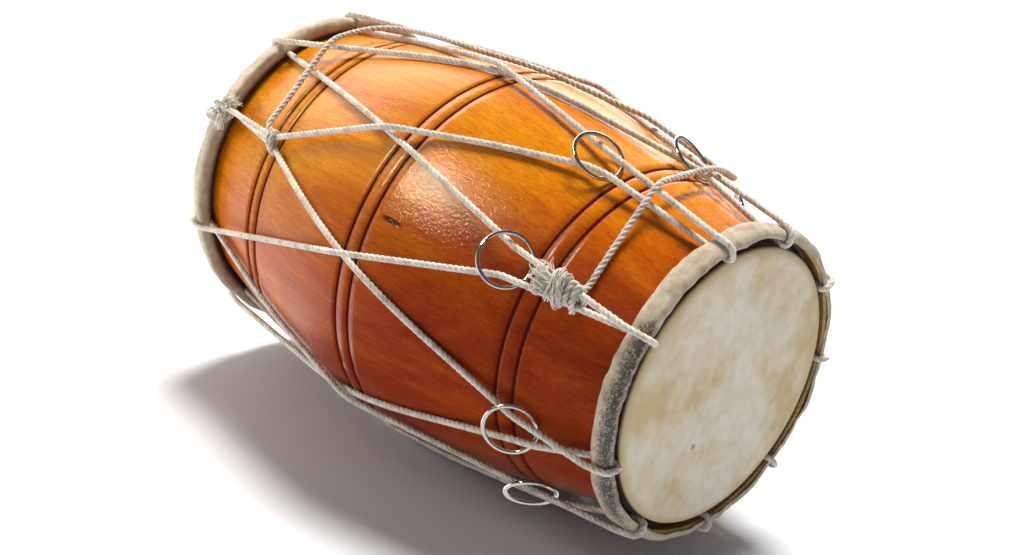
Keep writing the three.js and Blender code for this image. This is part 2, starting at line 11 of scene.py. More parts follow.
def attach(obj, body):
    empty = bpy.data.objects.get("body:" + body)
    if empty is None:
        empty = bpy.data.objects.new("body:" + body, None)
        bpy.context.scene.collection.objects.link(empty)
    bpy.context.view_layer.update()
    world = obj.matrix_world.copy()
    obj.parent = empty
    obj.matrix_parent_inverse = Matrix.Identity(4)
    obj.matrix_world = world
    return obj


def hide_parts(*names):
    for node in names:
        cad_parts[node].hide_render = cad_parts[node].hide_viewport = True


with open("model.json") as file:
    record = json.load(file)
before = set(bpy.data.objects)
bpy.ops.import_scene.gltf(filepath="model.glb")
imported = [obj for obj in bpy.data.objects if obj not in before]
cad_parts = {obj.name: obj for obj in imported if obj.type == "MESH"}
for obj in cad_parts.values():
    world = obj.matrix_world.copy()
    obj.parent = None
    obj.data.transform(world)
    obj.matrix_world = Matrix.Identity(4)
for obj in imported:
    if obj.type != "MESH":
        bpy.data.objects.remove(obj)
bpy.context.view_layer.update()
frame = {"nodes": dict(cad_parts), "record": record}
scene = bpy.context.scene


# Shell
# A barrel turned from one log of mango wood, hollowed right through and open at both ends, with
# three pairs of scored lines. It is stained orange and carries a thick coat of glossy varnish.
mm = 0.001
shell_length = 424 * mm
belly_radius = 140.8 * mm
belly_distance = 235 * mm
wall = 9 * mm
end_wall = 7.5 * mm
hollow_margin = 60 * mm
edge_round = 1.5 * mm
shell_facets = 224
groove_width = 3.2 * mm
groove_depth = 1.3 * mm
groove_pair_spacing = 12.6 * mm
groove_pair_shares = [0.1946, 0.5113, 0.8028]
treble = {"station": 0, "inward": 1, "radius": 94.5 * mm, "slope": 0.2}
bass = {"station": shell_length, "inward": -1, "radius": 114 * mm, "slope": 0.18}
skin_thick = 1 * mm
seat = 0.3 * mm
rest_roll = 12.64
full_turn = 2 * math.pi

# The drum's own frame: stations run along -X from the treble end of the shell, +Z is the side that
# faces up in the photograph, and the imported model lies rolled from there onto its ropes.
head_face = next(m for m in frame["record"]["mounts"] if m["name"] == "treble_head_face")
ahead = Vector(head_face["axis"])
level_up = (Vector((0, 0, 1)) - ahead * ahead.z).normalized()
top = Quaternion(ahead, math.radians(rest_roll)) @ level_up
shell_start = Vector(head_face["pos_m"]) - ahead * (skin_thick + seat)
drum_turn = Matrix((ahead, top.cross(ahead), top)).transposed()
drum_place = Matrix.Translation(shell_start) @ drum_turn.to_4x4()


def shell_radius(station):
    """Outer radius of the shell, level at the belly and sloped at each end."""
    station = np.asarray(station, float)
    before = station < belly_distance
    span = np.where(before, belly_distance, shell_length - belly_distance)
    along = np.minimum(1, np.abs(station - belly_distance) / span)
    end_share = along * along * (3 - 2 * along)
    slope_share = along * along * (1 - along)
    end_radius = np.where(before, treble["radius"], bass["radius"])
    slope = np.where(before, treble["slope"], bass["slope"])
    return belly_radius * (1 - end_share) + end_radius * end_share + slope * span * slope_share


def around(station, degrees, radius):
    """Point of the drum's frame at a station, an angle from the top towards the front, and a radius."""
    angle = math.radians(degrees)
    return np.array([-station, -radius * math.sin(angle), radius * math.cos(angle)])


def to_linear(code):
    """Linear colour of an sRGB hex code."""
    shares = [int(code[i:i + 2], 16) / 255 for i in (1, 3, 5)]
    return [s / 12.92 if s <= 0.04045 else ((s + 0.055) / 1.055) ** 2.4 for s in shares] + [1]


def new_material(name):
    """An empty material made of nodes."""
    material = bpy.data.materials.new(name)
    material.use_nodes = True
    return material


def add_node(material, kind, output, sockets=None, stops=(), **settings):
    """Output of a new node with these settings, sockets' values or links, and ramp's stops."""
    made = material.node_tree.nodes.new(kind)
    for name, value in settings.items():
        setattr(made, name, value)
    for name, value in (sockets or {}).items():
        if isinstance(value, bpy.types.NodeSocket):
            material.node_tree.links.new(value, made.inputs[name])
        else:
            made.inputs[name].default_value = value
    for i, (place, code) in enumerate(stops):
        ramp = made.color_ramp.elements
        stop = ramp[i] if i < 2 else ramp.new(place)
        stop.position = place
        stop.color = to_linear(code)
    return made.outputs[output]


def set_finish(material, constants, links):
    """Ends a material: constants on its shader's sockets, and the outputs that drive the others."""
    shader = material.node_tree.nodes["Principled BSDF"]
    for socket, value in constants.items():
        shader.inputs[socket].default_value = value
    for socket, output in links.items():
        material.node_tree.links.new(output, shader.inputs[socket])


def show(name, mesh, material, slot, *nodes):
    """Puts a finished mesh, modelled in the drum's frame, in place of its CAD nodes."""
    mesh.transform(drum_place)
    mesh.shade_smooth()
    mesh.materials.clear()
    mesh.materials.append(material)
    piece = bpy.data.objects.new(name, mesh)
    scene.collection.objects.link(piece)
    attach(piece, "drum")
    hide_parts(*nodes)
    return piece


def turned(outline, steps):
    """Body turned about the drum's axis from an outline of stations and radii."""
    bm = bmesh.new()
    verts = [bm.verts.new((-station, 0, radius)) for station, radius in outline]
    edges = [bm.edges.new(pair) for pair in zip(verts, verts[1:])]
    if outline[0][1] > 0:
        edges.append(bm.edges.new((verts[-1], verts[0])))
    bmesh.ops.spin(
        bm, geom=verts + edges, cent=(0, 0, 0), axis=(1, 0, 0), angle=full_turn,
        steps=steps, use_merge=True,
    )
    bmesh.ops.remove_doubles(bm, verts=bm.verts, dist=seat / 100)
    bmesh.ops.recalc_face_normals(bm, faces=bm.faces)
    return bm


def rounded(outline, radius, steps=4):
    """Outline with each corner drawn as a smooth bend that starts a radius before it."""
    bent = []
    count = len(outline)
    for i in range(count):
        before, corner, after = (np.array(outline[k % count]) for k in (i - 1, i, i + 1))
        to_before, to_after = before - corner, after - corner
        start = corner + to_before * min(0.5, radius / np.linalg.norm(to_before))
        end = corner + to_after * min(0.5, radius / np.linalg.norm(to_after))
        for k in range(steps + 1):
            t = k / steps
            bent.append(tuple((1 - t) ** 2 * start + 2 * t * (1 - t) * corner + t * t * end))
    return bent


groove_stations = [
    share * shell_length + turn * groove_pair_spacing / 2
    for share in groove_pair_shares for turn in (-1, 1)
]
groove_shape = [(-0.5, 0), (-0.3, 0.55), (-0.12, 0.93), (0.12, 0.93), (0.3, 0.55), (0.5, 0)]
plain_step = 6 * mm
plain_stations = np.arange(plain_step, shell_length - edge_round, plain_step)
outside = [
    (station, shell_radius(station)) for station in plain_stations
    if all(abs(station - groove) > groove_width for groove in groove_stations)
]
for groove in groove_stations:
    for across, depth in groove_shape:
        station = groove + across * groove_width
        outside.append((station, shell_radius(station) - depth * groove_depth))
corner = edge_round * 0.3
outside = [
    (0, treble["radius"] - edge_round),
    (corner, treble["radius"] - corner),
    *sorted(outside),
    (shell_length - corner, bass["radius"] - corner),
    (shell_length, bass["radius"] - edge_round),
]
hollow_stations = np.arange(shell_length - hollow_margin, hollow_margin, -4 * plain_step)
hollow = [(station, shell_radius(station) - wall) for station in hollow_stations]
inside = [(shell_length, bass["radius"] - end_wall), *hollow, (0, treble["radius"] - end_wall)]
barrel = turned([*outside, *inside], shell_facets)
shell_mesh = bpy.data.meshes.new("shell_varnished")
barrel.to_mesh(shell_mesh)
barrel.free()
line_stain, line_fade = 2.5, 4.4  # at a line's middle, and how fast it falls off across the width
scored = shell_mesh.attributes.new("scored", "FLOAT", "POINT")
for i, vertex in enumerate(shell_mesh.vertices):
    nearest = min(abs(vertex.co.x + groove) for groove in groove_stations)
    scored.data[i].value = min(1, max(0, line_stain - line_fade * nearest / groove_width))

# Mango wood, stained orange, under a thick brushed varnish: broad soft streaks with painted shade that makes
# them darker and redder towards the lower front and lighter towards the top, back and bass end, short fine
# pores along the grain, stain gathered in the lines, and a gloss that the grain standing up through the coat
# breaks into short bright strokes.
wood = new_material("varnished_mango_wood")
place = add_node(wood, "ShaderNodeTexCoord", "Object")
on_drum = add_node(
    wood, "ShaderNodeMapping", "Vector",
    {"Vector": place, "Location": shell_start, "Rotation": drum_turn.to_euler()}, vector_type="TEXTURE",
)
streak_length, streak_width = 260 * mm, 36 * mm
grain_length, grain_width = 46 * mm, 1.9 * mm
pore_length, pore_width = 5 * mm, 0.7 * mm
streaks, grain, pores = (
    add_node(
        wood, "ShaderNodeTexNoise", "Fac",
        {
            "Vector": add_node(
                wood, "ShaderNodeMapping", "Vector",
                {"Vector": on_drum, "Scale": (1 / length, 1 / width, 1 / width)},
            ),
            "Scale": 1, "Detail": detail, "Roughness": 0.6, "Distortion": bend,
        },
    )
    for length, width, detail, bend in (
        (streak_length, streak_width, 4, 0.6),
        (grain_length, grain_width, 4, 0.2),
        (pore_length, pore_width, 2, 0),
    )
)
# Painted light and shade: the wood is drawn lighter towards the top, the back and the bass end, and darker
# and redder towards the lower front, as the light falls on it.
painted_light_side = Vector((-0.35, 0.5, 0.8))
towards_painted_light = add_node(
    wood, "ShaderNodeVectorMath", "Value", {0: on_drum, 1: painted_light_side}, operation="DOT_PRODUCT",
)
painted_light_share = add_node(
    wood, "ShaderNodeMapRange", "Result",
    {"Value": towards_painted_light, "From Min": 0, "From Max": 120 * mm, "To Min": -0.08, "To Max": 0.32},
)
figure_and_painted_light = add_node(
    wood, "ShaderNodeMath", "Value", {0: streaks, 1: 0.62, 2: painted_light_share}, operation="MULTIPLY_ADD",
)
body_colour = add_node(
    wood, "ShaderNodeValToRGB", "Color", {"Fac": figure_and_painted_light},
    stops=[(0.2, "#943004"), (0.78, "#e8a016"), (0.38, "#b65003"), (0.58, "#d87f06")],
)
grain_colour = add_node(
    wood, "ShaderNodeValToRGB", "Color", {"Fac": grain}, stops=[(0.3, "#b9804a"), (0.62, "#ffffff")],
)
grained = add_node(
    wood, "ShaderNodeMixRGB", "Color", {"Fac": 0.5, "Color1": body_colour, "Color2": grain_colour},
    blend_type="MULTIPLY",
)
pore_share = add_node(
    wood, "ShaderNodeMapRange", "Result",
    {"Value": pores, "From Min": 0.58, "From Max": 0.72, "To Min": 0, "To Max": 0.55},
)
line_share = add_node(wood, "ShaderNodeAttribute", "Fac", attribute_name="scored")
mark_station, mark_angle = 194 * mm, 53
mark_size = (11 * mm, 1.9 * mm, 1.9 * mm)
mark_place = Vector(around(mark_station, mark_angle, shell_radius(mark_station)))
from_mark = add_node(
    wood, "ShaderNodeMapping", "Vector", {"Vector": on_drum, "Location": mark_place, "Scale": mark_size},
    vector_type="TEXTURE",
)
mark_reach = add_node(wood, "ShaderNodeVectorMath", "Value", {0: from_mark}, operation="LENGTH")
mark_share = add_node(
    wood, "ShaderNodeMapRange", "Result",
    {"Value": mark_reach, "From Min": 0.7, "From Max": 1.3, "To Min": 0.92, "To Max": 0},
)
wood_colour = grained
for share, code in ((pore_share, "#5c2204"), (line_share, "#5c1004"), (mark_share, "#200a04")):
    wood_colour = add_node(
        wood, "ShaderNodeMixRGB", "Color",
        {"Fac": share, "Color1": wood_colour, "Color2": to_linear(code)},
    )
dull_lines = add_node(
    wood, "ShaderNodeMapRange", "Result", {"Value": line_share, "To Min": 0.42, "To Max": 0.8},
)
ripple = add_node(wood, "ShaderNodeTexNoise", "Fac", {"Vector": on_drum, "Scale": 0.42 / mm, "Detail": 1})
relief = add_node(wood, "ShaderNodeMath", "Value", {0: pores, 1: ripple}, operation="ADD")
coat_relief = add_node(
    wood, "ShaderNodeBump", "Normal", {"Height": relief, "Strength": 0.45, "Distance": 0.45 * mm},
)
set_finish(
    wood,
    {"Specular IOR Level": 0.05, "Coat Weight": 0.42, "Coat Roughness": 0.06, "Coat IOR": 1.45},
    {"Base Color": wood_colour, "Roughness": dull_lines, "Normal": coat_relief, "Coat Normal": coat_relief},
)
show("shell_varnished", shell_mesh, wood, "varnished_wood", "shell")


# Tuning paste and cane hoops
# The patch of black paste is stuck inside the bass skin, and a hoop of bent cane lies in each
# skin's lap. All three are hidden in the drum's skins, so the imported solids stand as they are.
paste_finish = new_material("dried_paste")
place = add_node(paste_finish, "ShaderNodeTexCoord", "Object")
crumbs = add_node(
    paste_finish, "ShaderNodeTexNoise", "Fac", {"Vector": place, "Scale": 0.5 / mm, "Detail": 3},
)
paste_tone = add_node(
    paste_finish, "ShaderNodeValToRGB", "Color", {"Fac": crumbs}, stops=[(0.35, "#17120f"), (0.7, "#3a302a")],
)
paste_bump = add_node(
    paste_finish, "ShaderNodeBump", "Normal", {"Height": crumbs, "Strength": 0.5, "Distance": 0.5 * mm},
)
set_finish(paste_finish, {"Roughness": 0.9}, {"Base Color": paste_tone, "Normal": paste_bump})
cane = new_material("bent_cane")
place = add_node(cane, "ShaderNodeTexCoord", "Object")
fibres = add_node(cane, "ShaderNodeTexNoise", "Fac", {"Vector": place, "Scale": 0.7 / mm, "Detail": 2})
cane_tone = add_node(
    cane, "ShaderNodeValToRGB", "Color", {"Fac": fibres}, stops=[(0.3, "#a9824a"), (0.7, "#d3b074")],
)
set_finish(cane, {"Roughness": 0.6}, {"Base Color": cane_tone})
for node, finish, slot in (
    ("tuning_paste", paste_finish, "paste"), ("treble_hoop", cane, "cane"), ("bass_hoop", cane, "cane"),
):
    frame["nodes"][node].data.materials.clear()
    frame["nodes"][node].data.materials.append(finish)


# Skins
# Each head is one sheet of goat rawhide, laid on wet: it covers the open end, runs down the side
# under the hoop, turns up behind it and laps over it, and the rope pierces the turned-up collar.
cord_radius = 2.3 * mm
cord_seat = 0.45 * mm
cane_width = 12 * mm
cane_thick = 4.4 * mm
cane_corner = 1.4 * mm
lap_corner = 2 * mm
back_corner = 4.6 * mm
rim_band = 5.5 * mm
collar_bend = 1.9 * mm
section_bend = 1.2 * mm
skin_facets = 216
solid_facets = 40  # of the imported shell, whose flats the rope clears
facet_sag = bass["radius"] * (1 - math.cos(math.pi / solid_facets))
side_outer = seat + skin_thick
cord_under = side_outer + seat + cord_radius
cane_inner = cord_under + cord_radius + facet_sag + seat
lap_inner = cane_inner + cane_thick + seat
lap_outer = lap_inner + skin_thick
cord_over = lap_outer + seat + cord_radius
lap_front = -skin_thick - 2 * seat
cane_front = lap_front + skin_thick + seat
cane_back = cane_front + cane_width
lap_back = cane_back + seat + skin_thick
cord_front = lap_front - seat - cord_radius
treble["loops"] = [5.3, 47.3, 94.9, 132.8, 174.9, 213.1, 258.3, 292.3, 333]
bass["loops"] = [18, 47.7, 90.6, 127, 158, 201, 252, 299, 346.7]


def on_head(head, depth, height):
    """Station and radius at a depth from the shell's end and a height over its side."""
    station = head["station"] + head["inward"] * depth
    return station, float(shell_radius(station)) + head["slope"] * min(0, depth) + height


def loop_route(head, degrees):
    """Route of one loop round a lapped hoop, over its front and out underneath."""
    shape = [
        (lap_back - seat, cord_over),
        (lap_front, cord_over),
        (cord_front + cord_radius / 3, lap_outer + 2 * cord_radius / 3),
        (cord_front, lap_outer - lap_corner / 2),
        (cord_front, cane_inner - cord_radius / 3),
        (cord_front + cord_radius / 2, cane_inner - cord_radius),
        (lap_front + seat, cord_under - seat / 2),
        (cord_radius / 2, cord_under),
        (lap_back + seat, cord_under),
    ]
    places = [on_head(head, depth, height) for depth, height in shape]
    return [around(station, degrees, radius) for station, radius in places]


def skin_mesh(name, head):
    """One sheet of skin, spun from its section, then pierced and drawn out of true as rawhide is."""
    rim = head["radius"] - edge_round
    flat = [(head["station"] + head["inward"] * depth, radius) for depth, radius in (
        (-seat - skin_thick, 0), (-seat - skin_thick, 0.35 * rim), (-seat - skin_thick, 0.7 * rim),
        (-seat - skin_thick, rim - rim_band), (-seat - skin_thick, rim - rim_band / 2),
        (-seat - skin_thick, rim), (-seat, rim + seat / 2), (-seat, 0),
    )]
    sheet = [on_head(head, depth, height) for depth, height in (
        (-seat, skin_thick), (skin_thick, side_outer), (cane_back - collar_bend, side_outer),
        (cane_back + seat, side_outer + collar_bend), (cane_back + seat, lap_inner - cane_corner),
        (cane_back + seat - cane_corner, lap_inner), (cane_front - seat + cane_corner, lap_inner),
        (cane_front - seat, lap_inner - cane_corner), (cane_front - seat, cane_inner),
        (lap_front, cane_inner), (lap_front, lap_outer - lap_corner), (lap_front + lap_corner, lap_outer),
        (lap_back - back_corner, lap_outer), (lap_back - 0.3 * back_corner, lap_outer - 0.3 * back_corner),
        (lap_back, lap_outer - back_corner),
        (lap_back, seat + collar_bend), (cane_back - skin_thick, seat), (edge_round - seat, seat),
    )]
    bend = rounded([flat[5], *sheet, flat[6]], section_bend, 3)
    bm = turned([*flat[:5], *bend[4:-4], *flat[6:]], skin_facets)
    holes = bmesh.new()
    for degrees in head["loops"]:
        inner, outer = (Vector(point) for point in loop_route(head, degrees)[-2:])
        way = (outer - inner).normalized()
        middle = outer + way * cord_radius
        bmesh.ops.create_cone(
            holes, cap_ends=True, segments=20, radius1=cord_radius, radius2=cord_radius,
            depth=4 * cord_radius,
            matrix=Matrix.Translation(middle) @ way.to_track_quat("Z", "Y").to_matrix().to_4x4(),
        )
    whole, cutter = (
        bpy.data.objects.new(part, bpy.data.meshes.new(part)) for part in (name, name + "_holes")
    )
    for part, made in ((whole, bm), (cutter, holes)):
        made.to_mesh(part.data)
        made.free()
        scene.collection.objects.link(part)
    pierce = whole.modifiers.new("pierce", "BOOLEAN")
    pierce.operation, pierce.solver, pierce.object = "DIFFERENCE", "EXACT", cutter
    mesh = bpy.data.meshes.new_from_object(whole.evaluated_get(bpy.context.evaluated_depsgraph_get()))
    bpy.data.objects.remove(whole)
    bpy.data.objects.remove(cutter)
    return mesh


# Between its loops the lap is slack: it bulges, waves and puckers, and its edges wander. The hair is
# left in a thick and a thin stretch, each with its middle and half its spread in degrees.
loop_grip = 9 * mm
lap_blend = 1.6 * mm
lap_bulge, lap_wave, lap_pucker, lap_sink = 1.1 * mm, 1.3 * mm, 0.35 * mm, 0.15 * mm
wave_length, wave_degrees, wave_height = 22 * mm, 11, 9 * mm
pucker_length, pucker_degrees = 5 * mm, 3.1
edge_degrees, fine_edge_degrees = 13, 3.7
thick_hair, thin_hair = (72, 36), (104, 44)
hair_depth, hair_width = 4.2 * mm, 6.5 * mm


def weather(mesh, head):
    """Draws the lap a little out of round, tightest at its loops, and marks the lap, the hair, and the
    painted shade on the side and round the rim.
    """
    loops = np.array(head["loops"])
    marks = ("lap", "painted_shade_side", "hairy", "rim")
    zones = {zone: mesh.attributes.new(zone, "FLOAT", "POINT").data for zone in marks}
    for i, vertex in enumerate(mesh.vertices):
        depth = -vertex.co.x * head["inward"] - (0 if head is treble else -shell_length)
        radius = math.hypot(vertex.co.y, vertex.co.z)
        angle = math.degrees(math.atan2(-vertex.co.y, vertex.co.z)) % 360
        height = radius - head["radius"] - head["slope"] * depth
        on_lap = min(1, max(0, (height - cane_inner) / lap_blend + 1))
        nearest = np.min(np.abs((loops - angle + 180) % 360 - 180)) * math.radians(radius)
        slack = 1 - math.exp(-((nearest / loop_grip) ** 2))
        along = vertex.co.x
        wave = noise.noise(Vector((along / wave_length, angle / wave_degrees, height / wave_height)))
        pucker = lap_pucker * noise.noise(Vector((along / pucker_length, angle / pucker_degrees, 4)))
        swell = slack * (lap_bulge + lap_wave * wave) + (0.3 + slack) * pucker - lap_sink
        scale = 1 + on_lap * swell / max(radius, mm)
        vertex.co.y *= scale
        vertex.co.z *= scale
        across_lap = 2 * (depth - lap_front) / (lap_back - lap_front) - 1
        edge = noise.noise(Vector((angle / edge_degrees, 9, 3 + across_lap)))
        edge += 0.5 * noise.noise(Vector((angle / fine_edge_degrees, 2, across_lap)))
        vertex.co.x -= head["inward"] * on_lap * slack * across_lap * (0.3 + 1.9 * edge) * mm
        zones["lap"][i].value = on_lap
        thick, thin = (
            1 - min(1, abs((angle - middle + 180) % 360 - 180) / spread)
            for middle, spread in (thick_hair, thin_hair)
        )
        across = min(1, 2 - 2 * min(1, abs(depth - lap_front - hair_depth) / hair_width))
        # Painted shade: the side strip and the collar behind the shell's end are drawn near-black red-brown.
        zones["painted_shade_side"][i].value = min(1, max(0, (depth + seat) / (2 * mm))) * (1 - on_lap)
        zones["hairy"][i].value = min(1, 4 * thick + 1.2 * thin) * on_lap * across if head is treble else 0
        # Painted shade: a tan band round the rim of the head and down its side, where the edge turns into
        # shade.
        zones["rim"][i].value = max(0, 1 - abs(head["radius"] - radius) / rim_band) * (1 - on_lap)
    return mesh


# Goat rawhide: a bone-cream head with soft tan stains and a few specks, a tan band of painted shade round
# its rim, a lap scraped to a pale suede, a side strip painted near-black as deep shade, and a fringe of grey
# hair left at the front edge.
rawhide = new_material("goat_rawhide")
place = add_node(rawhide, "ShaderNodeTexCoord", "Object")
stain_size, mottle_size, speck_size, nap_size = 48 * mm, 7 * mm, 1.6 * mm, 0.6 * mm
stains, mottle, specks, nap = (
    add_node(
        rawhide, "ShaderNodeTexNoise", "Fac",
        {"Vector": place, "Scale": 1 / size, "Detail": detail, "Roughness": 0.65, "Distortion": bend},
    )
    for size, detail, bend in (
        (stain_size, 3, 0.1), (mottle_size, 3, 0.1), (speck_size, 2, 0), (nap_size, 2, 0),
    )
)
head_tone = add_node(
    rawhide, "ShaderNodeValToRGB", "Color", {"Fac": stains},
    stops=[(0.36, "#d6bf8f"), (0.6, "#e8e0d1"), (0.47, "#dfd2b6")],
)
mottled = add_node(
    rawhide, "ShaderNodeMixRGB", "Color",
    {"Fac": 0.3, "Color1": head_tone, "Color2": add_node(
        rawhide, "ShaderNodeValToRGB", "Color", {"Fac": mottle}, stops=[(0.35, "#e3d6bc"), (0.6, "#ffffff")],
    )}, blend_type="MULTIPLY",
)
lap_tone = add_node(
    rawhide, "ShaderNodeValToRGB", "Color", {"Fac": mottle}, stops=[(0.3, "#a5957f"), (0.7, "#cdc1ae")],
)
lap_share, side_shade_share, hair_share, rim_share = (
    add_node(rawhide, "ShaderNodeAttribute", "Fac", attribute_name=zone)
    for zone in ("lap", "painted_shade_side", "hairy", "rim")
)
hair_mix = add_node(rawhide, "ShaderNodeMath", "Value", {0: hair_share, 1: specks}, operation="MULTIPLY")
hair_amount = add_node(
    rawhide, "ShaderNodeMapRange", "Result",
    {"Value": hair_mix, "From Min": 0.24, "From Max": 0.5, "To Max": 0.92},
)
dot_size = 2.2 * mm
dot_place = drum_place @ Vector((skin_thick + seat, -28.7 * mm, -30.7 * mm))
from_dot = add_node(
    rawhide, "ShaderNodeMapping", "Vector", {"Vector": place, "Location": dot_place, "Scale": [dot_size] * 3},
    vector_type="TEXTURE",
)
dot_reach = add_node(rawhide, "ShaderNodeVectorMath", "Value", {0: from_dot}, operation="LENGTH")
dot_share = add_node(
    rawhide, "ShaderNodeMapRange", "Result",
    {"Value": dot_reach, "From Min": 0.3, "From Max": 1.3, "To Min": 0.7, "To Max": 0},
)
skin_colour = mottled
# The rim's tan and the side's near-black are painted shade; the lap's tone, the hair and the dot are the
# skin's own colour.
for share, over in (
    (rim_share, to_linear("#cbb58a")), (lap_share, lap_tone), (side_shade_share, to_linear("#34140a")),
    (hair_amount, to_linear("#3d3833")), (dot_share, to_linear("#5c5750")),
):
    skin_colour = add_node(
        rawhide, "ShaderNodeMixRGB", "Color", {"Fac": share, "Color1": skin_colour, "Color2": over},
    )
skin_relief = add_node(rawhide, "ShaderNodeMath", "Value", {0: nap, 1: mottle}, operation="ADD")
skin_bump = add_node(
    rawhide, "ShaderNodeBump", "Normal", {"Height": skin_relief, "Strength": 0.35, "Distance": 0.5 * mm},
)
light_reach = (4 * mm, 2 * mm, 1 * mm)
set_finish(
    rawhide,
    {"Roughness": 0.68, "Sheen Weight": 0.15, "Subsurface Weight": 0.08, "Subsurface Radius": light_reach},
    {"Base Color": skin_colour, "Normal": skin_bump},
)
for name, head in (("treble_skin", treble), ("bass_skin", bass)):
    show(name + "_rawhide", weather(skin_mesh(name + "_rawhide", head), head), rawhide, "rawhide", name)


# Lacing rope
# One three-strand cotton rope runs in a V from head to head through nine loops on each hoop. It is
# hauled tight by hand, so each leg takes the shortest way over the barrel and over the legs it crosses.
crossing_gap = 0.6 * mm
leg_step = 13 * mm
crossing_reach = 6 * mm
settling_rounds = 1200
halvings = 40
knot_slot = 1
ring_mean_radius = 17.2 * mm
ring_zone = 106 * mm
ring_shares = [1, 0.9624, 0.6604, 0.7736, 0.7924, 0.868, 0.9056, 0.83, 0.8208]
ring_lean = 22
ring_reach = ring_mean_radius * math.cos(math.radians(ring_lean))
ring_pinch = 9.6 * mm
ring_lift = 9.2 * mm
hitch_distance = 85 * mm
hitch_station = shell_length - hitch_distance
hitch_angle = 50
cord_diameter = 2 * cord_radius
bearing = cord_radius + cord_seat
stacked = cord_diameter + crossing_gap
loops = len(treble["loops"])


def taut_leg(start, end, bass_slot, treble_slot, crossing):
    """Leg from hoop to hoop: each point settles between its neighbours, then out on what bears it."""
    ring_station = ring_shares[treble_slot] * ring_zone
    lift_station = ring_station - ring_reach
    over = [] if crossing is None else [crossing - crossing_reach, crossing, crossing + crossing_reach]
    hitched = [hitch_station] if bass_slot == knot_slot else []
    extra = [ring_station, lift_station, *hitched, *over]
    count = math.ceil(abs(end[0] - start[0]) / leg_step)
    even = np.linspace(-start[0], -end[0], count + 1)
    clear = [s for s in even[1:-1] if all(abs(s - place) > leg_step / 4 for place in extra)]
    stations = np.array(sorted([even[0], even[-1], *clear, *extra], reverse=start[0] < end[0]))
    share = (stations + start[0]) / (start[0] - end[0])
    points = start + share[:, None] * (end - start)
    floor = shell_radius(stations) + bearing
    near = {place: np.abs(stations - place) < seat for place in extra}
    for place in over:
        floor[near[place]] += stacked
    lifted = near[lift_station]
    floor[lifted] = np.maximum(floor[lifted], shell_radius(stations[lifted]) + ring_lift)
    drawn = [(near[ring_station], treble["loops"][treble_slot], ring_pinch)]
    drawn += [(near[place], hitch_angle, bearing) for place in hitched]
    slope = (stations[1:-1] - stations[:-2]) / (stations[2:] - stations[:-2])
    for sweep in range(2 * settling_rounds):
        inner = np.arange(1 + sweep % 2, len(points) - 1, 2)
        before, after = points[inner - 1, 1:], points[inner + 1, 1:]
        settled = before + slope[inner - 1, None] * (after - before)
        settled *= np.maximum(1, floor[inner] / np.linalg.norm(settled, axis=1))[:, None]
        points[inner, 1:] = settled
        for here, degrees, half_spread in drawn:
            across = around(0, degrees + 90, 1)
            spread = points[here] @ across
            excess = np.maximum(0, np.abs(spread) - half_spread)
            points[here] -= (np.sign(spread) * excess)[:, None] * across
    return points


def leg_at(leg, station):
    """Point of a leg's middle line at a station."""
    order = np.argsort(-leg[:, 0])
    return np.array([-station, *(np.interp(station, -leg[order, 0], leg[order, k]) for k in (1, 2))])


def leg_angle(leg, station):
    """Angle of a leg at a station, from the top towards the front, in radians."""
    _, y, z = leg_at(leg, station)
    return math.atan2(-y, z)


def crossing_of(one, other):
    """Station where two legs cross, found by halving."""
    low, high = shell_length / 4, 3 * shell_length / 4

    def apart(station):
        return math.remainder(leg_angle(other, station) - leg_angle(one, station), full_turn)

    side = math.copysign(1, apart(low))
    for _ in range(halvings):
        middle = (low + high) / 2
        low, high = (middle, high) if math.copysign(1, apart(middle)) == side else (low, middle)
    return low


turns = []
for i in range(2 * loops + 1):
    head = treble if i % 2 else bass
    slot = (knot_slot + i) % loops
    turns.append((head, slot, loop_route(head, head["loops"][slot])))


def lay_legs(crossings):
    """All legs in the order in which the rope runs, each level where it crosses an earlier one."""
    legs = []
    for i, ((head, slot, route), (_, next_slot, next_route)) in enumerate(zip(turns, turns[1:])):
        bass_slot, treble_slot = (slot, next_slot) if head is bass else (next_slot, slot)
        legs.append(taut_leg(route[-1], next_route[0], bass_slot, treble_slot, crossings[i]))
    return legs


flat_legs = lay_legs([None] * 2 * loops)
crossings = [None if i < loops else crossing_of(flat_legs[i - loops], flat_legs[i]) for i in range(2 * loops)]
legs = lay_legs(crossings)
lacing = list(turns[0][2][1:])
for i, leg in enumerate(legs):
    lacing += list(leg[1:])
    if i < len(legs) - 1:
        lacing += turns[i + 1][2][1:]

# The rope's section: three strands pressed together, plump where the rope lies slack and worn to a
# rounder line where it is hauled tight.
plump_strand = 1.25 * mm
worn_strand = 1.6 * mm
strand_points = 4
lay_pitch = 13 * mm
rope_step = 1.15 * mm


def rope_section(name, strand_radius):
    """Closed curve round three strands, which touch on the rope's middle line."""
    curve = bpy.data.curves.new(name, "CURVE")
    curve.dimensions = "2D"
    line = curve.splines.new("POLY")
    line.points.add(3 * strand_points - 1)
    line.use_cyclic_u = True
    offset = cord_radius - strand_radius
    for i, point in enumerate(line.points):
        swing = (i % strand_points / strand_points - 0.5) * full_turn / 3
        reach = offset * math.cos(swing) + math.sqrt(strand_radius**2 - (offset * math.sin(swing)) ** 2)
        angle = i / (3 * strand_points) * full_turn
        point.co = (reach * math.cos(angle), reach * math.sin(angle), 0, 1)
    section = bpy.data.objects.new(name, curve)
    scene.collection.objects.link(section)
    return section


plump_section = rope_section("plump_section", plump_strand)
worn_section = rope_section("worn_section", worn_strand)


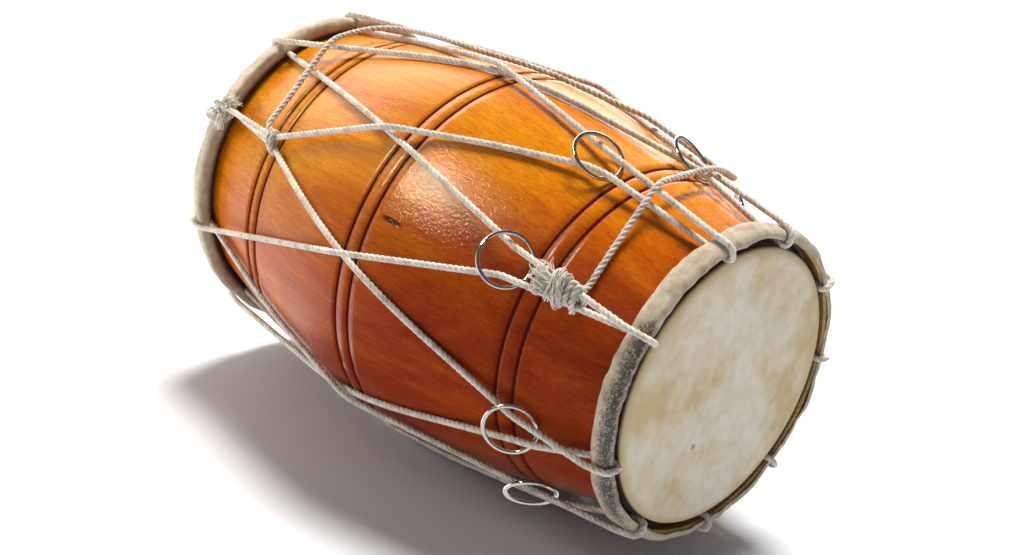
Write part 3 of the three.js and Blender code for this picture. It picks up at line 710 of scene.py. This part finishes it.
def eased(route, step, easing):
    """Even points along a route, with its corners eased as a soft rope eases them."""
    route = np.array(route)
    along = np.r_[0, np.cumsum(np.linalg.norm(np.diff(route, axis=0), axis=1))]
    even = np.linspace(0, along[-1], round(along[-1] / step) + 1)
    line = np.column_stack([np.interp(even, along, route[:, k]) for k in range(3)])
    for _ in range(easing):
        line[1:-1] = (line[:-2] + 2 * line[1:-1] + line[2:]) / 4
    return line


def mesh_of(curve):
    """Mesh of a curve, which it stands in for."""
    drawn = bpy.data.objects.new(curve.name, curve)
    scene.collection.objects.link(drawn)
    mesh = bpy.data.meshes.new_from_object(drawn.evaluated_get(bpy.context.evaluated_depsgraph_get()))
    mesh.name = curve.name
    bpy.data.objects.remove(drawn)
    bpy.data.curves.remove(curve)
    return mesh


def rope_mesh(name, routes, easing=7, section=plump_section):
    """Twisted rope laid along each route, with closed ends."""
    curve = bpy.data.curves.new(name, "CURVE")
    curve.dimensions = "3D"
    curve.twist_mode = "MINIMUM"
    curve.bevel_mode = "OBJECT"
    curve.bevel_object = section
    curve.use_fill_caps = True
    for route in routes:
        line = eased(route, rope_step, easing)
        spline = curve.splines.new("POLY")
        spline.points.add(len(line) - 1)
        spline.points.foreach_set("co", np.column_stack([line, np.ones(len(line))]).ravel())
        spline.points.foreach_set("tilt", np.arange(len(line)) * rope_step / lay_pitch * full_turn)
    return mesh_of(curve)


# Cotton rope, spun and undyed: three soft strands with grey painted shade in the valleys between them, a fine
# twist of yarns in each, a fluffy sheen of loose fibre, and here and there a handled, dusty stretch.
cotton = new_material("spun_cotton")
place = add_node(cotton, "ShaderNodeTexCoord", "Object")
yarn_size, dust_size = 0.7 * mm, 9 * mm
yarns, dust = (
    add_node(
        cotton, "ShaderNodeTexNoise", "Fac", {"Vector": place, "Scale": 1 / size, "Detail": detail},
    )
    for size, detail in ((yarn_size, 3), (dust_size, 2))
)
valley_shade = add_node(cotton, "ShaderNodeAttribute", "Fac", attribute_name="valley_shade")
yarn_tone = add_node(
    cotton, "ShaderNodeValToRGB", "Color", {"Fac": yarns}, stops=[(0.32, "#d2cabe"), (0.62, "#f8f4ec")],
)
dusty = add_node(
    cotton, "ShaderNodeMixRGB", "Color",
    {"Fac": 0.5, "Color1": yarn_tone, "Color2": add_node(
        cotton, "ShaderNodeValToRGB", "Color", {"Fac": dust}, stops=[(0.38, "#bbb0a0"), (0.55, "#ffffff")],
    )}, blend_type="MULTIPLY",
)
# Painted shade: the valleys between the strands are drawn grey.
shaded_yarn = add_node(
    cotton, "ShaderNodeMixRGB", "Color", {"Fac": valley_shade, "Color1": dusty, "Color2": to_linear("#8b8176")},
)
yarn_bump = add_node(
    cotton, "ShaderNodeBump", "Normal", {"Height": yarns, "Strength": 0.6, "Distance": 0.35 * mm},
)
set_finish(
    cotton, {"Roughness": 0.9, "Sheen Weight": 0.3, "Sheen Roughness": 0.5},
    {"Base Color": shaded_yarn, "Normal": yarn_bump},
)


def shaded(mesh, depth=0.6):
    """Marks painted shade in the valleys between the strands, which lie nearest the rope's middle line."""
    valley_shade = mesh.attributes.new("valley_shade", "FLOAT", "POINT").data
    ring = 3 * strand_points
    for i in range(len(mesh.vertices)):
        valley_shade[i].value = depth if i % ring % strand_points == 0 else 0
    return mesh


lacing_mesh = shaded(rope_mesh("lacing_rope_cotton", [lacing], section=worn_section), 0.4)
show("lacing_rope_cotton", lacing_mesh, cotton, "cotton_rope", "lacing_rope")


# Tail of the rope
# The spare end of the same rope. From its hitch at the bass side it is drawn over the barrel, up
# and back down across the legs that it meets, and is tied off on the legs of the second treble loop.
tail_route_shares = [
    (0.816, 46), (0.825, 37), (0.837, 28), (0.858, 14), (0.863, 4), (0.854, -4), (0.821, -9.5),
    (0.755, -11), (0.679, -12.5), (0.566, -17), (0.448, -25), (0.342, -35), (0.255, -43), (0.198, -46.5),
    (0.172, -42), (0.16, -32), (0.15, -14), (0.14, 1), (0.133, 12), (0.126, 30), (0.122, 41),
]
tail_step = 7 * mm


def smooth_line(knots):
    """Smooth centripetal line through points, ten places to a stretch."""
    ends = [2 * knots[0] - knots[1], *knots, 2 * knots[-1] - knots[-2]]
    line = []
    for a, b, c, d in zip(ends, ends[1:], ends[2:], ends[3:]):
        first, second, third = (math.sqrt(np.linalg.norm(q - p)) for p, q in ((a, b), (b, c), (c, d)))
        leave = ((b - a) / first - (c - a) / (first + second) + (c - b) / second) * second
        reach = ((c - b) / second - (d - b) / (second + third) + (d - c) / third) * second
        for t in np.arange(0, 1, 0.1):
            line.append(
                (2 * t**3 - 3 * t**2 + 1) * b + (t**3 - 2 * t**2 + t) * leave
                + (3 * t**2 - 2 * t**3) * c + (t**3 - t**2) * reach
            )
    return np.array([*line, knots[-1]])


def clear_radius(station, angle):
    """Radius at which the tail clears the shell and every leg that it passes over."""
    radius = float(shell_radius(station)) + bearing
    for leg in legs:
        if (station + leg[0][0]) * (station + leg[-1][0]) > 0:
            continue
        height = math.hypot(*leg_at(leg, station)[1:])
        aside = height * abs(math.remainder(angle - leg_angle(leg, station), full_turn))
        if aside < cord_diameter + tail_step / 2:
            radius = max(radius, height + stacked)
    return radius


arc = math.radians(belly_radius)
knots = [np.array([share * shell_length, degrees * arc, 0]) for share, degrees in tail_route_shares]
places = eased(smooth_line(knots), tail_step, 0)
floors = np.array([clear_radius(x, math.radians(y / arc)) for x, y, _ in places])
tail = np.array([around(x, y / arc, floor) for (x, y, _), floor in zip(places, floors)])
for sweep in range(2 * settling_rounds):
    inner = np.arange(1 + sweep % 2, len(tail) - 1, 2)
    middle = (tail[inner - 1] + tail[inner + 1]) / 2
    taut = np.maximum(floors[inner], np.hypot(middle[:, 1], middle[:, 2]))
    tail[inner, 1:] *= (taut / np.hypot(tail[inner, 1], tail[inner, 2]))[:, None]
entry = next(i for i, (head, slot, _) in enumerate(turns) if head is treble and slot == 1)
hitch_legs = legs[0], legs[-1]
tassel_legs = legs[entry - 1], legs[entry]
tassel_distance = 54 * mm


def between(pair, station, height):
    """Place over the middle of two legs at a station."""
    middle = (leg_at(pair[0], station) + leg_at(pair[1], station)) / 2
    middle[1:] *= 1 + height / np.linalg.norm(middle[1:])
    return middle


tied = [
    between(hitch_legs, hitch_station, cord_radius),
    *tail,
    between(tassel_legs, tassel_distance - cord_diameter, cord_radius),
]
show("tail_rope_cotton", shaded(rope_mesh("tail_rope_cotton", [tied])), cotton, "cotton_rope", "tail_rope")


# Knots
# The ends of the rope are tied down by hand: a knot on the bass hoop with a brush of frayed yarn,
# a hitch round the two legs behind it, and a whipped knot with a frayed end near the treble hoop.
wrap_pitch = 1.02 * cord_diameter
grip = 0.9 * cord_diameter
turn_steps = 20


def wrapped(one, other, first, rounds, start_turn):
    """Route of a rope wound tight round two legs, from a station towards the treble."""
    route = []
    for i in range(round(rounds * turn_steps) + 1):
        turn = i / turn_steps
        station = first - turn * wrap_pitch
        a, b = leg_at(one, station), leg_at(other, station)
        middle = (a + b) / 2
        outward = np.array([0, *middle[1:]]) / np.linalg.norm(middle[1:])
        across = (b - a) / np.linalg.norm(b - a)
        lift = outward - (outward @ across) * across
        angle = (turn + start_turn) * full_turn
        half_width = np.linalg.norm(b - a) / 2 + grip
        point = middle + across * half_width * math.cos(angle) + lift * grip * math.sin(angle)
        floor = float(shell_radius(station)) + cord_radius
        point[1:] *= max(1, floor / np.linalg.norm(point[1:]))
        route.append(point)
    return route


def unlaid(route, reference, count, bunch, chance):
    """Lines of the yarns of a rope's end that has come unlaid, each drifting about a shared route."""
    line = eased(route, 1.4 * mm, 2)
    ahead = np.gradient(line, axis=0)
    side = np.cross(ahead, reference)
    side /= np.linalg.norm(side, axis=1)[:, None]
    lift = np.cross(side, ahead)
    lift /= np.linalg.norm(lift, axis=1)[:, None]
    yarns = []
    for _ in range(count):
        turn, reach = chance.uniform(0, full_turn), bunch * math.sqrt(chance.random())
        sway, pace, beat = chance.uniform(0.3, 0.9), chance.uniform(0.25, 0.5), chance.uniform(0, full_turn)
        steps = np.arange(len(line))
        angle = turn + 0.12 * steps + sway * np.sin(pace * steps + beat)
        reaches = reach * (1 + 0.25 * np.sin(pace * 1.7 * steps + turn))
        drift = reaches[:, None] * (np.cos(angle)[:, None] * side + np.sin(angle)[:, None] * lift)
        first, last = chance.randint(0, len(line) // 6), len(line) - chance.randint(0, len(line) // 4)
        yarns.append((line + drift)[first:last])
    return yarns


def frayed(root, way, out, count, length, bunch, wave, chance):
    """Lines of loose yarns that leave a bunch, keep more or less to one way and curl at their ends."""
    side = np.cross(way, out)
    yarns = []
    for _ in range(count):
        turn, reach = chance.uniform(0, full_turn), math.sqrt(chance.random())
        offset = reach * (math.cos(turn) * side * 1.25 + math.sin(turn) * out * 0.8)
        point = root + offset * bunch
        heading = way + 0.3 * offset + wave * (side * chance.gauss(0, 1) + out * chance.gauss(0, 0.6))
        curl = side * chance.choice((-1, 1)) * chance.uniform(0.1, 0.6) + out * chance.gauss(-0.1, 0.3)
        steps = 14
        step = length * chance.uniform(0.45, 1.1) / steps
        yarn = []
        for k in range(steps):
            yarn.append(point)
            pull = way * 0.12 if k < 0.6 * steps else curl
            heading = heading + pull + wave * (side * chance.gauss(0, 0.8) + out * chance.gauss(0, 0.5))
            heading = heading / np.linalg.norm(heading)
            point = point + heading * step
        yarns.append(np.array(yarn))
    return yarns


# Stations between which ring 2 slides under the yarns of the treble knot, and how high they rest there
ring_way = [56 * mm, 59 * mm, 100 * mm, 101 * mm]
yarn_rest = [0.6 * mm, 6.6 * mm, 6.6 * mm, 0.6 * mm]


def yarn_mesh(name, yarns, thick):
    """Soft threads along their lines, thinner towards the tip, clear of the varnish and of the ring
    that slides up under the treble knot."""
    curve = bpy.data.curves.new(name, "CURVE")
    curve.dimensions = "3D"
    curve.bevel_depth = thick
    curve.bevel_resolution = 1
    curve.use_fill_caps = True
    for yarn in yarns:
        spline = curve.splines.new("POLY")
        spline.points.add(len(yarn) - 1)
        for k, (place, point) in enumerate(zip(spline.points, yarn)):
            floor = float(shell_radius(-point[0]) + np.interp(-point[0], ring_way, yarn_rest))
            lifted = max(1, floor / np.linalg.norm(point[1:]))
            place.co = (point[0], point[1] * lifted, point[2] * lifted, 1)
            place.radius = 1 - 0.4 * k / len(yarn)
    return mesh_of(curve)


hitch_start = hitch_station + 1.2 * wrap_pitch
hitch = rope_mesh(
    "bass_hitch_cotton", [wrapped(*hitch_legs, hitch_start, rounds=2.1, start_turn=0.55)], easing=2,
)
show("bass_hitch_cotton", shaded(hitch), cotton, "cotton_rope", "bass_hitch")

knot_scale = 3 * mm
knot_steps = 96
knot_inset = 6.5 * mm
knot_swing = 3
knot_station, knot_height = on_head(bass, (lap_front + lap_back) / 2, cord_over)
knot_angle = bass["loops"][knot_slot] + knot_swing
knot_out = around(0, knot_angle, 1)
knot_across = around(0, knot_angle + 90, 1)
knot_middle = around(knot_station - knot_inset, knot_angle, knot_height + 0.4 * cord_radius)
overhand = []
for i in range(knot_steps + 1):
    t = i / knot_steps * full_turn
    along, across = math.cos(t) - 2 * math.cos(2 * t), math.sin(t) + 2 * math.sin(2 * t)
    overhand.append(knot_middle + knot_scale * (
        np.array([1, 0, 0]) * along * 1.15 + knot_across * across - knot_out * 0.95 * math.sin(3 * t)
    ))
chance = random.Random(11)
knot = rope_mesh("bass_knot_cotton", [overhand], easing=1)
show("bass_knot_cotton", shaded(knot), cotton, "cotton_rope", "bass_knot")
tuft_root = knot_middle + knot_out * 1.5 * mm - knot_across * 5 * mm + np.array([2 * mm, 0, 0])
tuft_way = np.array([0.42, 0, 0]) - knot_across * 0.88 + knot_out * 0.02
tuft = frayed(
    tuft_root, tuft_way, knot_out, count=110, length=15 * mm, bunch=4 * mm, wave=0.16, chance=chance,
)
tuft += unlaid(overhand, knot_out, count=44, bunch=2.9 * mm, chance=chance)
show("bass_tuft_yarns", yarn_mesh("bass_tuft_yarns", tuft, 0.45 * mm), cotton, "cotton_rope", "bass_tuft")

tassel_start = tassel_distance + 0.2 * wrap_pitch
tassel = rope_mesh(
    "treble_tassel_cotton", [wrapped(*tassel_legs, tassel_start, rounds=1.7, start_turn=0.2)], easing=2,
)
show("treble_tassel_cotton", shaded(tassel), cotton, "cotton_rope", "treble_tassel")
legs_way = leg_at(tassel_legs[0], tassel_start + 20 * mm) - leg_at(tassel_legs[0], tassel_start)
legs_way /= np.linalg.norm(legs_way)
fray_root = between(tassel_legs, tassel_start + 11 * mm, 3 * mm)
fray_out = np.array([0, *fray_root[1:]]) / np.linalg.norm(fray_root[1:])
chance = random.Random(7)
swollen = np.array([1, 1.012, 1.012])
loose_turns = wrapped(*tassel_legs, tassel_start + 10 * mm, rounds=1.8, start_turn=0.1)
fray = unlaid(
    [point * swollen for point in loose_turns], legs_way, count=54, bunch=3.4 * mm, chance=chance,
)
fray += frayed(
    fray_root, legs_way, fray_out, count=120, length=19 * mm, bunch=5.4 * mm, wave=0.2, chance=chance,
)
show("treble_tassel_yarns", yarn_mesh("treble_tassel_yarns", fray, 0.42 * mm), cotton, "cotton_rope")


# Tuning rings
# Nine rings of bent steel wire, butt-joined and nickel-plated, one round the two legs of each
# treble loop. Slid towards the bass they draw the legs together and tighten both skins.
ring_wire_radius = 1.4 * mm
wire_facets, ring_facets = 20, 88
joint_swell, joint_spread = 0.1, 0.05  # share of the wire's radius, and radians
steel = new_material("nickel_plated_steel")
place = add_node(steel, "ShaderNodeTexCoord", "Object")
scuffs = add_node(steel, "ShaderNodeTexNoise", "Fac", {"Vector": place, "Scale": 0.6 / mm, "Detail": 3})
scuffed = add_node(
    steel, "ShaderNodeMapRange", "Result",
    {"Value": scuffs, "From Min": 0.4, "From Max": 0.75, "To Min": 0.07, "To Max": 0.2},
)
plate_tone = add_node(
    steel, "ShaderNodeValToRGB", "Color", {"Fac": scuffs}, stops=[(0.3, "#c4c2be"), (0.7, "#dddcd8")],
)
set_finish(steel, {"Metallic": 1}, {"Base Color": plate_tone, "Roughness": scuffed})
rings = bpy.data.collections.new("rings")
for slot in range(loops):
    node = f"tuning_ring_{slot + 1}"
    corners = np.array([v.co for v in frame["nodes"][node].data.vertices])
    middle = corners.mean(axis=0)
    axes = np.linalg.svd(corners - middle)[2]
    bm = bmesh.new()
    wire = bmesh.ops.create_circle(
        bm, segments=wire_facets, radius=ring_wire_radius,
        matrix=Matrix.Translation((ring_mean_radius, 0, 0)) @ Matrix.Rotation(math.pi / 2, 4, "X"),
    )["verts"]
    hoop = [*wire, *bm.edges]
    bmesh.ops.spin(
        bm, geom=hoop, cent=(0, 0, 0), axis=(0, 0, 1), angle=full_turn, steps=ring_facets, use_merge=True,
    )
    bmesh.ops.remove_doubles(bm, verts=bm.verts, dist=seat / 100)
    for vertex in bm.verts:
        from_joint = math.atan2(vertex.co.y, vertex.co.x)
        swell = joint_swell * math.exp(-((from_joint / joint_spread) ** 2))
        core = Vector((vertex.co.x, vertex.co.y, 0)).normalized() * ring_mean_radius
        vertex.co = core + (vertex.co - core) * (1 + swell)
    bmesh.ops.recalc_face_normals(bm, faces=bm.faces)
    basis = Matrix((axes[0], axes[1], np.cross(axes[0], axes[1]))).transposed().to_4x4()
    bmesh.ops.transform(bm, matrix=Matrix.Translation(middle) @ basis, verts=bm.verts)
    mesh = bpy.data.meshes.new(node + "_wire")
    bm.to_mesh(mesh)
    bm.free()
    mesh.shade_smooth()
    mesh.materials.append(steel)
    ring = bpy.data.objects.new(node + "_wire", mesh)
    scene.collection.objects.link(ring)
    rings.objects.link(ring)
    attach(ring, f"ring_{slot + 1}")
    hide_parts(node)
bpy.data.objects.remove(plump_section)
bpy.data.objects.remove(worn_section)


# Floor, lights and camera
# A pale table that runs out of the picture, a broad light from the roof, and area lights for what the
# varnish and the rings mirror in a studio. The table shows in neither, since the photo has none.
floor_size = 60
bpy.ops.mesh.primitive_plane_add(size=floor_size)
table_top = bpy.context.object
table_top.name = "table_top"
paper = new_material("white_paper")
set_finish(paper, {"Base Color": to_linear("#dde2ea"), "Roughness": 0.9}, {})
table_top.data.materials.append(paper)
table_top.visible_glossy = table_top.visible_shadow = False

focal_length = 50.56
head_to_camera = Vector((461.25 * mm, -602.68 * mm, 524.24 * mm))
azimuth, elevation = math.radians(47.72), math.radians(30.62)
right = drum_turn @ Vector((math.cos(azimuth), math.sin(azimuth), 0))
level = math.cos(elevation)
forward = drum_turn @ Vector(
    (-math.sin(azimuth) * level, math.cos(azimuth) * level, -math.sin(elevation))
)
upward = right.cross(forward)
camera_data = bpy.data.cameras.new("camera")
camera_data.lens = focal_length
camera = bpy.data.objects.new("camera", camera_data)
scene.collection.objects.link(camera)
camera_place = drum_place @ Vector((skin_thick + seat, 0, 0)) + drum_turn @ head_to_camera
camera_turn = Matrix((right, upward, -forward)).transposed()
camera.matrix_world = Matrix.Translation(camera_place) @ camera_turn.to_4x4()
scene.camera = camera

# Each light stands off a place on the drum that mirrors it to the camera, or that it has to fill.
# The mirrored ones show only as reflections: a bank and a sweep behind the drum, a window over the
# belly, a low glow at the bass end and a sheen on the rings alone. The lamp and the fill only light.
warm, golden, plain = (1, 0.93, 0.84), (1, 0.84, 0.56), (1, 1, 1)
for name, spot, way, distance, size, watts, colour, mirrored in (
    ("back_bank", (-230, 0, 120), (-0.8, 0.46, 0.38), 1.2, (2.2, 0.55), 17, warm, True),
    ("back_sweep", (-150, 45, 105), (-0.57, 0.8, 0.02), 1.2, (0.62, 0.66), 4.6, warm, True),
    ("window", (-190, -82, 106), (-0.47, -0.44, 0.77), 1.3, (0.3, 0.2), 25, golden, True),
    ("floor_glow", (-340, -120, 10), (-0.92, -0.12, -0.36), 0.9, (1.4, 0.8), 7, warm, True),
    ("ring_sheen", (-212, 0, 0), (-0.044, -0.219, -0.975), 0.16, (3, 3), 22, plain, True),
    ("side_lamp", (-400, -80, 20), (-0.7, -0.65, 0.3), 0.6, (0.3, 0.3), 2.6, warm, False),
    ("head_fill", (0, 0, 0), (0.93, -0.1, 0.35), 1.4, (0.8, 0.8), 1.4, plain, False),
):
    light_data = bpy.data.lights.new(name, "AREA")
    light_data.shape = "RECTANGLE"
    light_data.size, light_data.size_y = size
    light_data.energy = watts
    light_data.color = colour
    light = bpy.data.objects.new(name, light_data)
    light.visible_glossy, light.visible_diffuse, light.visible_camera = mirrored, not mirrored, False
    if name == "ring_sheen":
        light.light_linking.receiver_collection = rings
    outward = (drum_turn @ Vector(way)).normalized()
    light.matrix_world = (
        Matrix.Translation(drum_place @ (Vector(spot) * mm) + outward * distance)
        @ outward.to_track_quat("Z", "Y").to_matrix().to_4x4()
    )
    scene.collection.objects.link(light)
roof_data = bpy.data.lights.new("roof_light", "SUN")
roof_data.energy = 5.2
roof_data.angle = math.radians(22)
roof_data.color = (1, 0.95, 0.88)
roof_light = bpy.data.objects.new("roof_light", roof_data)
roof_light.visible_glossy = False
roof_way = drum_turn @ Vector((-0.2, 0.45, 0.86))
roof_light.matrix_world = roof_way.to_track_quat("Z", "Y").to_matrix().to_4x4()
scene.collection.objects.link(roof_light)
world = bpy.data.worlds.new("studio")
world.use_nodes = True
world.node_tree.nodes["Background"].inputs["Color"].default_value = to_linear("#ffffff")
world.node_tree.nodes["Background"].inputs["Strength"].default_value = 0.1
scene.world = world
scene.view_settings.view_transform = "Standard"
